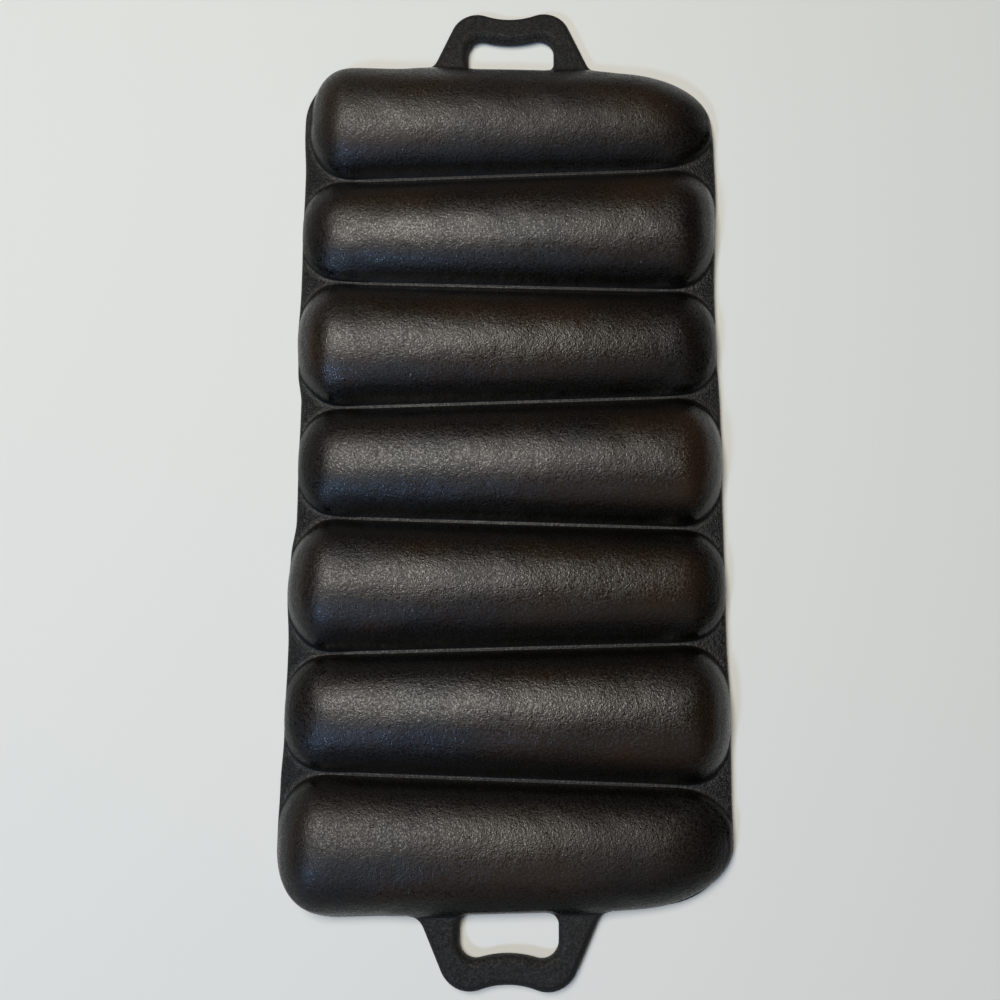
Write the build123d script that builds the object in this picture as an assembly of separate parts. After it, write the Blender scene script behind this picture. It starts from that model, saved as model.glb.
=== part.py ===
from build123d import *
import os
from math import atan2, cos, degrees, radians, sin, sqrt, tan

# A seven-stick corn stick pan, cast in one piece, in millimetres.
# It lies rim down, as it is stored: Z = 0 is the plane of the rim and the cups stand up from it.
# The sticks lie along X and follow each other down the Y axis, and a loop handle stands out at
# each end of Y. Each section of the casting is one solid that meets its neighbours face to face.

# Driving dimensions: the plate of rim and webs
stick_count = 7
rim_width = 147.6
valley_width = 2.33
deck_thickness = 4.0
deck_edge_radius = 1.0
rim_lip = 0.1
side_lip = 0.6
butt_corner_radius = 17.0
tip_corner_radius = 28.0

# Driving dimensions: one cup, an ear of corn that stands less than half out of the rim's plane.
# The ear's middle line lies below that plane, and the end depths are measured at the deck's top.
cup_radius = 22.1
ear_sink = 6.0
cup_taper_angle = 1.8
cup_wall = 3.4
butt_depth = 14.0
tip_depth = 16.0
corner_tip_depth = 29.0
end_fullness_share = 0.55

# Driving dimensions: the kernels, shallow round dimples inside a cup that narrow to a flat floor
kernel_radius = 2.6
kernel_floor_radius = 2.0
kernel_depth = 1.0
kernel_spacing = 6.3
kernel_rows = 7
kernel_row_angle = 20.0
kernel_stagger_share = 0.5

# Driving dimensions: one loop handle, reaching outwards from the end of the rim
handle_thickness = 5.0
handle_edge_radius = 1.5
handle_shift = 0.7
handle_reach = 23.5
handle_dip = 2.1
handle_lobe_radius = 9.9
handle_lobe_offset = 12.2
handle_lean_angle = 24.0
handle_root_radius = 6.0
handle_bar_width = 9.6
hole_dip = 1.4
hole_lobe_radius = 5.5
hole_lobe_offset = 10.3
hole_corner_radius = 4.0

# Extra length by which a cutting shape passes through what it cuts
overrun = 5.0

side_rise = tan(radians(cup_taper_angle))
deck_half_width = sqrt(cup_radius**2 - (ear_sink + deck_thickness) ** 2)
deck_share = deck_half_width / cup_radius
ear_rise = side_rise * deck_share
stick_pitch = 2 * deck_half_width + valley_width
butt_join_x = -rim_width / 2 + side_lip + butt_depth
end_line_middle = (stick_count - 1) / 2 * stick_pitch + deck_half_width + rim_lip
root_half_width = sqrt(cup_radius**2 - (ear_sink + handle_thickness) ** 2)
root_seat_depth = deck_half_width + rim_lip - root_half_width

# The straight side of a handle leaves its lobe at this point, and leans out to its foot at the rim
lean = radians(handle_lean_angle)
side_top_x = handle_lobe_offset + handle_lobe_radius * cos(lean)
side_top_y = handle_reach - handle_lobe_radius + handle_lobe_radius * sin(lean)
side_foot_x = side_top_x + side_top_y * tan(lean)
flare_width = handle_root_radius * tan((radians(90) - lean) / 2)
handle_root_half_width = side_foot_x + flare_width + 2 * handle_edge_radius
hole_reach = handle_reach - handle_bar_width


def butt_side(stick):
    """The sticks take turns: odd ones have their wide butt at -X, even ones at +X."""
    return -1 if stick % 2 else 1


def stick_middle(stick):
    """Y of the middle of a stick, counted from the far end of the pan."""
    return ((stick_count + 1) / 2 - stick) * stick_pitch


def far_end_y(x):
    """Y of the rim's far end line, which runs beside the tapered first stick."""
    return end_line_middle + butt_side(1) * side_rise * x


def near_end_y(x):
    """Y of the rim's near end line, beside the last stick."""
    return -end_line_middle - butt_side(stick_count) * side_rise * x


def valley_y(valley, x):
    """Y of the valley between a stick and the next one, counted from the far end."""
    return stick_middle(valley) - stick_pitch / 2 - butt_side(valley) * side_rise * x


def is_end_stick(stick):
    return stick in (1, stick_count)


def rim_outline():
    """The outline of the rim: two straight ends beside the outer sticks, and round corners."""
    left, right = -rim_width / 2, rim_width / 2
    corners = [
        (left, far_end_y(left)),
        (right, far_end_y(right)),
        (right, near_end_y(right)),
        (left, near_end_y(left)),
    ]
    corner_radius = {True: butt_corner_radius, False: tip_corner_radius}
    radii = [
        corner_radius[butt_side(1) < 0],
        corner_radius[butt_side(1) > 0],
        corner_radius[butt_side(stick_count) > 0],
        corner_radius[butt_side(stick_count) < 0],
    ]
    return make_face(FilletPolyline(*corners, radius=radii, close=True))


def deck_plate():
    """The whole flat plate between the cups, with a rounded upper edge."""
    plate = extrude(rim_outline(), deck_thickness)
    return fillet(plate.faces().sort_by(Axis.Z)[-1].edges(), deck_edge_radius)


def rim_limit():
    """A block over the rim's outline, as tall as the pan, that gives every edge its lower rounding."""
    block = extrude(rim_outline(), cup_radius)
    return fillet(block.faces().sort_by(Axis.Z)[0].edges(), deck_edge_radius)


def stick_strip(stick):
    """A tall block over one stick's share of the plate, from valley to valley."""
    left, right = -rim_width / 2 - overrun, rim_width / 2 + overrun
    far = far_end_y if stick == 1 else lambda x: valley_y(stick - 1, x)
    near = near_end_y if stick == stick_count else lambda x: valley_y(stick, x)
    far_margin = overrun if stick == 1 else 0
    near_margin = overrun if stick == stick_count else 0
    corners = [
        (left, far(left) + far_margin),
        (right, far(right) + far_margin),
        (right, near(right) - near_margin),
        (left, near(left) - near_margin),
    ]
    block = extrude(make_face(Polyline(*corners, close=True)), cup_radius + 2 * overrun)
    return Pos(0, 0, -overrun) * block


def ear(radius, tip_join, butt, tip):
    """An ear turned about X, butt at -X: a cone between two rounded ends, one longer than the other."""
    butt_x = butt_join_x - butt
    tip_x = tip_join + tip
    butt_radius = radius - ear_rise * butt_join_x
    tip_radius = radius - ear_rise * tip_join
    butt_pull = butt * end_fullness_share
    tip_pull = tip * end_fullness_share
    butt_end = Bezier(
        (butt_x, 0),
        (butt_x, butt_radius * end_fullness_share),
        (butt_join_x - butt_pull, butt_radius + ear_rise * butt_pull),
        (butt_join_x, butt_radius),
    )
    flank = Line((butt_join_x, butt_radius), (tip_join, tip_radius))
    tip_end = Bezier(
        (tip_join, tip_radius),
        (tip_join + tip_pull, tip_radius - ear_rise * tip_pull),
        (tip_x, tip_radius * end_fullness_share),
        (tip_x, 0),
    )
    axis = Line((tip_x, 0), (butt_x, 0))
    return Pos(0, 0, -ear_sink) * revolve(make_face([butt_end, flank, tip_end, axis]), Axis.X)


def kernels(radius, first_x, last_x):
    """Tapered plugs that press the rows of kernels into a cup, every second row half a step along.

    Each plug points away from the ear's middle line and stands half inside the hollow.
    """
    columns = int((last_x - first_x - 2 * kernel_radius) / kernel_spacing)
    start = (first_x + last_x - (columns - kernel_stagger_share) * kernel_spacing) / 2
    base_radius = 2 * kernel_radius - kernel_floor_radius
    plug = Cone(base_radius, kernel_floor_radius, 2 * kernel_depth)
    plugs = []
    for row in range(kernel_rows):
        angle = radians((row - (kernel_rows - 1) / 2) * kernel_row_angle)
        stagger = kernel_stagger_share * (row % 2)
        for column in range(columns):
            x = start + (column + stagger) * kernel_spacing
            reach = radius - ear_rise * x
            middle = (x, reach * sin(angle), reach * cos(angle) - ear_sink)
            outwards = (0, sin(angle), cos(angle))
            plugs.append(Plane(origin=middle, x_dir=(1, 0, 0), z_dir=outwards) * plug)
    return plugs


def cup_shapes(tip):
    """The outer ear and the hollow of a cup, which is the same ear one wall smaller."""
    tip_join = rim_width / 2 - side_lip - tip
    butt_length = butt_depth / deck_share
    tip_length = tip / deck_share
    outer = ear(cup_radius, tip_join, butt_length, tip_length)
    hollow = ear(cup_radius - cup_wall, tip_join, butt_length - cup_wall, tip_length - cup_wall)
    pressed = kernels(cup_radius - cup_wall, butt_join_x, tip_join)
    return outer, hollow + pressed


def stick_cup(stick, plate, limit, outer, hollow):
    """One section of the casting: a strip of the plate with its cup, hollow from below."""
    turn = Rot(0, 0, 0 if butt_side(stick) < 0 else 180)
    place = Pos(0, stick_middle(stick), 0) * turn
    strip = stick_strip(stick)
    return (plate & strip) + (place * outer & limit & strip) - place * hollow


def bowed_end(lobe_offset, lobe_middle, lobe_radius, dip_bottom, lean_angle):
    """The far side of a handle outline: two round lobes with a shallow dip arc tangent to both.

    The dip's radius follows from the distance between its centre and a lobe's, which is the sum
    of their radii. The arcs run from the right side, over the dip, to the left side.
    """
    drop = dip_bottom - lobe_middle
    dip_radius = (lobe_offset**2 + drop**2 - lobe_radius**2) / (2 * (lobe_radius - drop))
    meet_angle = degrees(atan2(drop + dip_radius, -lobe_offset))
    lobe_turn = meet_angle - lean_angle
    dip_turn = 2 * (meet_angle - 90)
    right_lobe = CenterArc((lobe_offset, lobe_middle), lobe_radius, lean_angle, lobe_turn)
    dip = CenterArc((0, dip_bottom + dip_radius), dip_radius, 180 + meet_angle, -dip_turn)
    left_lobe = CenterArc((-lobe_offset, lobe_middle), lobe_radius, 180 - meet_angle, lobe_turn)
    return [right_lobe, dip, left_lobe]


def handle_outline(slope):
    """Outer edge of a handle: bowed end, leaning sides, flared root and a band inside the rim."""
    band = root_seat_depth + handle_edge_radius + overrun

    def half(side):
        rise = slope * side
        run = (side_top_y - rise * side_top_x) / (cos(lean) + rise * sin(lean))
        foot_x = side_top_x + run * sin(lean)
        root_y = rise * handle_root_half_width
        return [
            (side * side_top_x, side_top_y),
            (side * foot_x, rise * foot_x),
            (side * handle_root_half_width, root_y),
            (side * handle_root_half_width, root_y - band),
        ]

    points = half(1) + half(-1)[::-1]
    radii = [handle_root_radius, 0, 0, 0, 0, handle_root_radius]
    sides = FilletPolyline(*points, radius=radii)
    lobe_middle = handle_reach - handle_lobe_radius
    dip_bottom = handle_reach - handle_dip
    end = bowed_end(
        handle_lobe_offset, lobe_middle, handle_lobe_radius, dip_bottom, handle_lean_angle
    )
    return make_face(sides.edges() + end)


def hole_outline(slope):
    """The hand hole: the same bowed end, straight sides, and the rim's own edge as its fourth side."""
    lobe_middle = hole_reach - hole_lobe_radius
    side_x = hole_lobe_offset + hole_lobe_radius
    points = [
        (side_x, lobe_middle),
        (side_x, slope * side_x),
        (-side_x, -slope * side_x),
        (-side_x, lobe_middle),
    ]
    sides = FilletPolyline(*points, radius=[hole_corner_radius, hole_corner_radius])
    dip_bottom = hole_reach - hole_dip
    end = bowed_end(hole_lobe_offset, lobe_middle, hole_lobe_radius, dip_bottom, 0)
    return make_face(sides.edges() + end)


def root_seat(slope, half_width, height):
    """A block with the handle root's footprint inside the rim, up to the rim's end line."""
    corners = [
        (half_width, slope * half_width - root_seat_depth),
        (half_width, slope * half_width + overrun),
        (-half_width, -slope * half_width + overrun),
        (-half_width, -slope * half_width - root_seat_depth),
    ]
    block = extrude(make_face(Polyline(*corners, close=True)), height + 2 * overrun)
    return Pos(0, 0, -overrun) * block


def handle(slope):
    """A loop handle in its own frame: outwards is +Y, and Y = 0 is the rim's end line at its middle."""
    blank = extrude(handle_outline(slope) - hole_outline(slope), handle_thickness)
    rounded = blank.faces().sort_by(Axis.Z)[0].edges() + blank.faces().sort_by(Axis.Z)[-1].edges()
    blank = fillet(rounded, handle_edge_radius)
    reach = handle_reach + overrun
    keep = Polyline(
        (handle_root_half_width, slope * handle_root_half_width - root_seat_depth),
        (handle_root_half_width, reach),
        (-handle_root_half_width, reach),
        (-handle_root_half_width, -slope * handle_root_half_width - root_seat_depth),
        close=True,
    )
    return blank & extrude(make_face(keep), handle_thickness)


far_slope = butt_side(1) * side_rise
near_slope = -butt_side(stick_count) * side_rise
far_place = Pos(handle_shift, far_end_y(handle_shift), 0)
near_place = Pos(handle_shift, near_end_y(handle_shift), 0) * Rot(0, 0, 180)

far_seat = far_place * root_seat(far_slope, handle_root_half_width, cup_radius)
near_seat = near_place * root_seat(near_slope, handle_root_half_width, cup_radius)
plate = (deck_plate() & rim_limit()) - far_seat - near_seat
limit = rim_limit() - far_seat - near_seat

inner_outer, inner_hollow = cup_shapes(tip_depth)
corner_outer, corner_hollow = cup_shapes(corner_tip_depth)

nodes = {}
for stick in range(1, stick_count + 1):
    if is_end_stick(stick):
        nodes[f"stick_cup_{stick}"] = stick_cup(stick, plate, limit, corner_outer, corner_hollow)
    else:
        nodes[f"stick_cup_{stick}"] = stick_cup(stick, plate, limit, inner_outer, inner_hollow)
nodes["handle_far"] = far_place * handle(far_slope)
nodes["handle_near"] = near_place * handle(near_slope)

os.makedirs("parts", exist_ok=True)
for name, shape in nodes.items():
    export_step(shape, f"parts/{name}.step")
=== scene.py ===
"""A cast iron corn stick pan with seven ears and two loop handles, lying rim down.

The pan is one casting. Its nine sections (seven sticks, two handles) are surfaces worked out
with numpy that meet along the valleys between the sticks and at the roots of the handles.
All lengths are in metres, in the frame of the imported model: Z = 0 is the plane of the rim.
"""

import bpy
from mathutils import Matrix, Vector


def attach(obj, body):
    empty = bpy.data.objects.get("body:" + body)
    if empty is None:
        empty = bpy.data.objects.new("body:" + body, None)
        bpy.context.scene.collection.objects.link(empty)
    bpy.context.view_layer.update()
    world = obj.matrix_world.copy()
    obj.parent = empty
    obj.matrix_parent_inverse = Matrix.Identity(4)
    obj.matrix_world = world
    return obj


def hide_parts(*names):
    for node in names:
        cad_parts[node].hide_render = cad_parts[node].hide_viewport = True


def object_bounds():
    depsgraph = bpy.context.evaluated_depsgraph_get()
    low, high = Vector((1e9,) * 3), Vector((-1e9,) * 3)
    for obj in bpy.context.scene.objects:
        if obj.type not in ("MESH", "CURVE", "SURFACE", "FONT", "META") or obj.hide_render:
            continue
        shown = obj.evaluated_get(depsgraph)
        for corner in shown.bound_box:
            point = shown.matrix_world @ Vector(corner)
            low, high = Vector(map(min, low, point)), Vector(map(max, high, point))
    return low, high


bl_info = {
    "name": "Corn Stick Pan",
    "version": (1, 0, 0),
    "blender": (4, 5, 0),
    "location": "3D View > Sidebar > Corn Stick Pan",
    "description": "Builds a cast iron corn stick pan on its packed frame, with its stage",
    "category": "Add Mesh",
}

from math import radians

import bpy
import numpy as np
from bpy.props import FloatProperty, FloatVectorProperty, PointerProperty

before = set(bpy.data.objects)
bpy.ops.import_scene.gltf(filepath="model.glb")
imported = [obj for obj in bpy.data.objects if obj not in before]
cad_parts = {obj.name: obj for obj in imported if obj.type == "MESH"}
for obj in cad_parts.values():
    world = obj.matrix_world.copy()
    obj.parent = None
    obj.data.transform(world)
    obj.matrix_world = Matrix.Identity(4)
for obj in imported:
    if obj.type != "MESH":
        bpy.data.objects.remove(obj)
FRAME_LOW, FRAME_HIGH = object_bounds()

STICK_COUNT = 7

# A point of a section's border that is closer than this to the outline lies on a free edge
ON_OUTLINE = 2e-6
# Outline points closer together than this are one point
SAME_POINT = 1e-7

# Steps of the surfaces: along a flank, beside a spoke through a corner, and between two of those
FLANK_STEPS, SIDE_STEPS, END_STEPS = 200, 16, 30
# Power by which the spokes beside a corner crowd at it
CORNER_CROWDING = 1.8
# Points of the outline: in a corner, and in a handle's flare, side, lobe and half dip
CORNER_POINTS, FLARE_POINTS, SIDE_POINTS, LOBE_POINTS, DIP_POINTS = 40, 15, 14, 30, 16
# Steps from a handle's hole to its outer edge, and down its walls
BAR_STEPS, BAR_WALL_STEPS = 30, 3
# Rings over an ear, out from it to the border, and down the wall
EAR_RINGS, WEB_RINGS, WALL_RINGS = 39, 28, 3
# Rings inside a cup, round its mouth, and out from it over the face that the pan lies on
CUP_RINGS, MOUTH_RINGS, FACE_RINGS = 45, 8, 12
# Shares of a spoke at which the round ear, the cup and its mouth end
EAR_SHARE, CUP_SHARE, MOUTH_SHARE = 0.92, 0.995, 1.08
# Beyond its foot an ear falls by this many radii for each share
FALL_BEYOND_FOOT = 1.5
# Rows of kernels on each side of the middle one, and where the pattern fades: the shares of the
# way into a rounded end, and the heights over the mouth
SIDE_ROWS, END_FADE, MOUTH_FADE = 3, (0.35, 0.8), (0.0004, 0.0025)

# Where the web by the ears' ends begins and is full, and where the sides begin to draw in
WEB_START, WEB_FULL, INSET_START = 0.046, 0.064, 0.045
# Share of an end stick's foot over which that web's blend sets in towards the next stick
WEB_SHARE = 0.4
# Half the width of a handle's root at the end line, and where the end stick is free of it
ROOT_EDGE, ROOT_FREE = 0.0310, 0.0420
# Way out from the end line over which the rim's edges grow to the handle's
EDGE_GROWTH = 0.005
# Heights between which the unevenness of the casting sets in
SWELL_HEIGHTS = (0.003, 0.010)

# Places along Y and how far the rim's left and right sides draw in there
LEFT_INSETS = (
    (-0.126, 0.0001), (-0.106, 0.0004), (-0.090, 0.0011), (-0.062, 0.0012), (-0.045, 0.0004),
    (-0.032, 0.0010), (-0.020, 0.0024), (0.021, 0.0024), (0.032, 0.0010), (0.045, 0.0005),
    (0.062, 0.0009), (0.105, 0.0009), (0.122, 0.0001),
)
RIGHT_INSETS = (
    (-0.142, 0.0018), (-0.120, 0.0017), (-0.078, 0.0012), (-0.060, 0.0016), (-0.015, 0.0014),
    (0.004, 0.0010), (0.020, 0.0011), (0.040, 0.0018), (0.060, 0.0017), (0.080, 0.0010),
    (0.098, 0.0000), (0.112, 0.0002), (0.134, 0.0014),
)

# Shares of a spoke between which the finish of the flank sets in and ends, and the web's sets in
FLANK_IN, FLANK_OUT, WEB_IN = (0.84, 0.92), (0.94, 1.0), (1.0, 1.15)
# Heights between which the crests turn brown, leaving the flanks darker as painted shade, and the
# valleys darken as painted shade
BROWN_ABOVE_SHADED_FLANKS, VALLEY_SHADE_HEIGHTS = (0.009, 0.0145), (0.0075, 0.0040)
# Distances from a free edge between which its rubbing sets in
RUBBED_EDGE = (0.0016, 0.0002)
# Places between which the outer sticks (from the middle) and the left ends (along X) turn duller
OUTER_STICKS, LEFT_ENDS = (0.085, 0.115), (-0.028, -0.052)

# Scales of the noises in the finish: 1000 has waves about a millimetre long
WAVE_SCALE, PIT_SCALE, CLOUD_SCALE, SPECK_SCALE = 140.0, 480.0, 26.0, 1500.0
# Shares of the height of the cast grain, and how much calmer or rougher it is in places
PEEL_SHARE, SAND_SHARE, WAVE_SHARE = 0.45, 0.35, 0.80
FLANK_CALM, WEB_GRAIN = 0.6, 4.0
# What the clouds, specks, flanks, valleys, outer sticks and left ends add to the roughness
CLOUD_ROUGH, SPECK_ROUGH, FLANK_ROUGH, VALLEY_ROUGH = 0.04, 0.17, -0.14, 0.16
OUTER_ROUGH, LEFT_ROUGH = 0.07, 0.045


def prop(label, description, default, kind=FloatProperty, **rest):
    """A value that a user may change."""
    return kind(name=label, description=description, default=default, **rest)


def length(label, description, metres):
    """A size in metres."""
    return prop(label, description, metres, min=0, precision=5, unit="LENGTH")


def turn(label, description, degrees):
    """An angle, given in degrees and kept in radians."""
    return prop(label, description, radians(degrees), subtype="ANGLE")


def watts(label, description, power):
    """The power of a lamp."""
    return prop(label, description, power, min=0, unit="POWER")


def amount(label, description, number, most=1.0):
    """A plain number between nothing and the most that makes sense."""
    return prop(label, description, number, min=0, max=most)


def colour(label, description, tint):
    """A colour in linear red, green and blue."""
    return prop(label, description, tint, FloatVectorProperty, subtype="COLOR", min=0, max=1)


class PanSizes(bpy.types.PropertyGroup):
    """Sizes of the rim, the ears and the kernels."""

    half_width: length("Half width", "Half of the rim's width, along the sticks", FRAME_HIGH.x)
    pitch: length("Pitch", "Distance from the middle of one stick to the next", 0.041746)
    deck: length("Deck", "Thickness of the plate between the ears", 0.004)
    rim_lip: length("Rim lip", "Rim beyond the foot of an end stick", 0.0001)
    side_lip: length("Side lip", "Rim beyond the ends of the ears", 0.0006)
    butt_corner: length("Butt corner", "Corner radius of the rim by a wide end", 0.0205)
    foot: length("Foot", "Half an ear's width at the deck, in the middle of its length", 0.019708)
    crest: length("Crest", "Height of an ear in the middle of its length", 0.0156)
    sink: length("Sink", "Depth of the kernels' middle line under the rim", 0.006)
    taper: turn("Taper", "Lean of an ear's foot to its middle line", 1.8)
    crest_fall: amount("Crest fall", "Fall of the crest for each metre towards the tip", 0.028)
    wall: length("Wall", "Thickness of the iron round a cup", 0.0034)
    butt_depth: length("Butt depth", "Length of the rounding at the wide end", 0.0165)
    square: amount("Squareness", "Power that makes an end's plan squarer than an oval's 2", 2.4, 8)
    tip_depth: length("Tip depth", "Length of the rounding at the narrow end", 0.016)
    corner_tip_depth: length("Corner tip depth", "The same on the first and last stick", 0.028)
    tip_skew: length("Tip skew", "How much longer that end is on its outer side", 0.007)
    corner_lip: length("Corner lip", "More rim beyond the wide end of the first stick", 0.0020)
    end_blend: length("End blend", "Height over which an end melts into the web", 0.009)
    end_ease: length("End ease", "Length over which an end's rounding sets in", 0.006)
    blend: length("Valley blend", "Height over which an ear melts into the deck", 0.0036)
    rim_edge: length("Rim edge", "Rounding of the rim's upper edge", 0.0016)
    foot_edge: length("Foot edge", "Rounding of the rim's lower edge", 0.0009)
    mouth_blend: length("Mouth blend", "Height over which the mouth of a cup is rounded", 0.0015)
    kernel_length: length("Kernel length", "Distance from kernel to kernel in a row", 0.0063)
    kernel_angle: turn("Kernel angle", "Turn from one row of kernels to the next", 20)
    kernel_depth: length("Kernel depth", "How deep a kernel is pressed into the cup", 0.001)
    swell: length("Swell", "Unevenness of the cast surface", 0.00022)


class HandleSizes(bpy.types.PropertyGroup):
    """Sizes of the two loop handles, measured outwards from the end line of the rim."""

    thickness: length("Thickness", "Thickness of the handle", 0.005)
    shift: length("Shift", "How far the handles stand from the pan's middle line", 0.0007)
    reach: length("Reach", "From the rim's end line to the top of the lobes", 0.0235)
    dip: length("Dip", "Depth of the hollow between the lobes", 0.0021)
    lobe: length("Lobe radius", "Radius of each outer lobe", 0.0099)
    lobe_offset: length("Lobe offset", "From the handle's middle to a lobe's middle", 0.0122)
    lean: turn("Lean", "Lean of the handle's sides", 24)
    root: length("Root radius", "Radius of the flare at the rim", 0.006)
    bar: length("Bar width", "Width of the bar across the hole", 0.0096)
    hole_dip: length("Hole dip", "Depth of the bow in the hole's outer side", 0.0014)
    hole_lobe: length("Hole lobe radius", "Radius of the hole's outer corners", 0.0055)
    hole_offset: length("Hole lobe offset", "From the handle's middle to such a corner", 0.0103)
    hole_corner: length("Hole corner", "Radius of the hole's corners at the rim", 0.004)
    blend: length("Root blend", "Height over which the end stick melts into the handle", 0.007)
    upper_edge: length("Upper edge", "Rounding of the bar's upper edges", 0.0022)
    lower_edge: length("Lower edge", "Rounding of the bar's lower edges", 0.0013)


class IronFinish(bpy.types.PropertyGroup):
    """Colours and grain of the seasoned iron."""

    seasoning: colour("Seasoning", "Baked oil on the iron", (0.0018, 0.0014, 0.0010))
    brown: colour("Brown", "Thin seasoning that shows the iron's brown", (0.0170, 0.0092, 0.0045))
    rubbed: colour("Rubbed", "Iron rubbed along edges", (0.022, 0.020, 0.018))
    # Painted shade: this colour darkens the low valleys between the sticks, where the steep flanks
    # lie in shade.
    valley_shade: colour("Valley Shade", "Matte crust in the valleys", (0.0014, 0.0013, 0.0012))
    gloss: amount("Gloss", "How smooth the seasoning is on the sticks", 0.66)
    handle_gloss: amount("Handle gloss", "How smooth it is on the handles", 0.46)
    peel: amount("Peel", "Fineness of the orange peel: 1000 is a millimetre", 1000, 10000)
    sand: amount("Sand", "Fineness of the sand grain: 2000 is half a millimetre", 2100, 10000)
    grain: length("Grain", "Height of the orange peel left by the sand mould", 0.00030)
    pits: length("Pits", "Depth of the small pits", 0.00010)


class StageSettings(bpy.types.PropertyGroup):
    """Floor and lights."""

    floor: colour("Floor", "Colour of the floor", (0.71, 0.72, 0.69))
    floor_reach: length("Floor reach", "Half the width of the floor", 2.5)
    floor_gap: length("Floor gap", "How far the floor lies under the pan", 0.0001)
    key: watts("Key light", "Power of the overhead light", 15.2)
    window: watts("Window", "Power of the cool light in front", 6)
    front: watts("Front", "Power of the warm light in front", 0.8)
    fill: amount("Fill", "Strength of the surrounding light", 0.02, 4)


def ease(start, end, value):
    """Smooth step: 0 before start, 1 after end, and 3tt - 2ttt between them."""
    t = np.clip((value - start) / (end - start), 0, 1)
    return t * t * (3 - 2 * t)


def clustered(count):
    """Shares from 0 to 1 that crowd at both ends: half of one minus the cosine of a half turn."""
    return (1 - np.cos(np.pi * np.linspace(0, 1, count + 1))) / 2


def rounding(distance, radius):
    """Drop of a rounded edge: the radius minus the height of its quarter circle."""
    inside = radius - np.clip(distance, 0, radius)
    return radius - np.sqrt(np.clip(radius**2 - inside**2, 0, None))


def arc(middle, radius, start, end, count):
    """Points on a circle from one angle to another."""
    angle = np.linspace(start, end, count)
    points = np.stack([np.cos(angle), np.sin(angle)], 1)
    return np.array(middle) + radius * points


def corner_ways(before, corner, after):
    """The two directions away from a corner, one metre long, back and onwards."""
    back, onwards = np.subtract(before, corner), np.subtract(after, corner)
    return back / np.linalg.norm(back), onwards / np.linalg.norm(onwards)


def rounded_corner(before, corner, after, radius, count=CORNER_POINTS):
    """Arc that touches both lines at a corner. Its middle lies on the line that halves it."""
    first, last = corner_ways(before, corner, after)
    half = np.arccos(np.clip(first @ last, -1, 1)) / 2
    bisector = (first + last) / np.linalg.norm(first + last)
    middle = corner + bisector * radius / np.sin(half)
    touch = corner + first * radius / np.tan(half) - middle
    sweep = np.pi - 2 * half
    turning = np.sign(first[0] * last[1] - first[1] * last[0])
    angle = np.arctan2(touch[1], touch[0])
    return arc(middle, radius, angle, angle - turning * sweep, count)


def oval_corner(before, corner, after, first_length, last_length):
    """Quarter of an oval that touches both lines at a corner, these lengths away from it."""
    first, last = corner_ways(before, corner, after)
    angle = np.linspace(0, np.pi / 2, CORNER_POINTS)[:, None]
    return (
        corner + first * first_length * (1 - np.sin(angle))
        + last * last_length * (1 - np.cos(angle))
    )


def smooth_max(first, second, blend):
    """The larger of two heights, with a round meeting where they differ by less than the blend.

    There it adds (blend minus the difference) squared over four blends.
    """
    near = np.clip(blend - np.abs(first - second), 0, None)
    return np.maximum(first, second) + near**2 / (4 * blend)


class Ear:
    """One ear in its own frame: along runs from the wide butt (minus) to the tip, across from its
    middle line. Its section is half an ellipse, and its ends are quarters of squarer ovals."""

    def __init__(self, sizes, wall, outer):
        """Outer is 1 on the first stick, -1 on the last and 0 elsewhere: the side that lies at the
        pan's end. There the tips are long and skew. A wall makes the ear smaller all round."""
        self.sizes, self.wall, self.outer = sizes, wall, outer
        self.rise = np.tan(sizes.taper)
        half_length = sizes.half_width - sizes.side_lip
        tip = sizes.corner_tip_depth if outer else sizes.tip_depth
        self.butt_join = sizes.butt_depth - half_length + (sizes.corner_lip if outer == 1 else 0)
        self.tip_join = half_length - tip
        self.butt_depth = sizes.butt_depth / self.foot_share(self.butt_join) - wall
        self.tip_depth = tip / self.foot_share(self.tip_join) - wall

    def ends(self):
        """Where the rounding of the tip and of the butt starts, its depth, and its way along."""
        return (self.tip_join, self.tip_depth, 1), (self.butt_join, self.butt_depth, -1)

    def foot_share(self, along):
        """Share of the ellipse's half width at which it is as low as the deck."""
        height = self.sizes.crest - self.sizes.crest_fall * along
        return np.sqrt(1 - (self.sizes.deck / height) ** 2)

    def crest(self, along):
        """The crest falls steadily from butt to tip."""
        return self.sizes.crest - self.sizes.crest_fall * along - self.wall

    def radius(self, along):
        """Half the ellipse's width, such that the foot at the deck runs straight."""
        return (self.sizes.foot - self.rise * along) / self.foot_share(along) - self.wall

    def share(self, along, across):
        """How far out a point lies, from 0 on the spine to 1 at the foot.

        Its way into a rounded end over that end's depth, and its distance across over the radius,
        are each raised to a power and added, and the root of that power is taken. The power is 2,
        an oval's, on the outer sides of the tips at the pan's corners, and higher elsewhere.
        """
        lean = 2 * ease(-self.sizes.foot, self.sizes.foot, self.outer * across) - 1
        lean = lean * self.sizes.tip_skew * abs(self.outer)
        join, depth = self.tip_join - lean, self.tip_depth + lean
        butt = smooth_max(self.butt_join - along, 0, self.sizes.end_ease) / self.butt_depth
        tip = smooth_max(along - join, 0, self.sizes.end_ease) / depth
        outside = (along > 0) & (self.outer * across > 0)
        power = np.where(outside, 2, self.sizes.square)
        width = np.abs(across) / self.radius(along)
        return (butt**power + tip**power + width**power) ** (1 / power)

    def height(self, along, across):
        """Crest times the root of one less the share squared. Beyond the foot it falls steeply."""
        share = self.share(along, across)
        inside = self.crest(along) * np.sqrt(np.clip(1 - share**2, 0, None))
        return inside - FALL_BEYOND_FOOT * self.radius(along) * np.clip(share - 1, 0, None)


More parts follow.
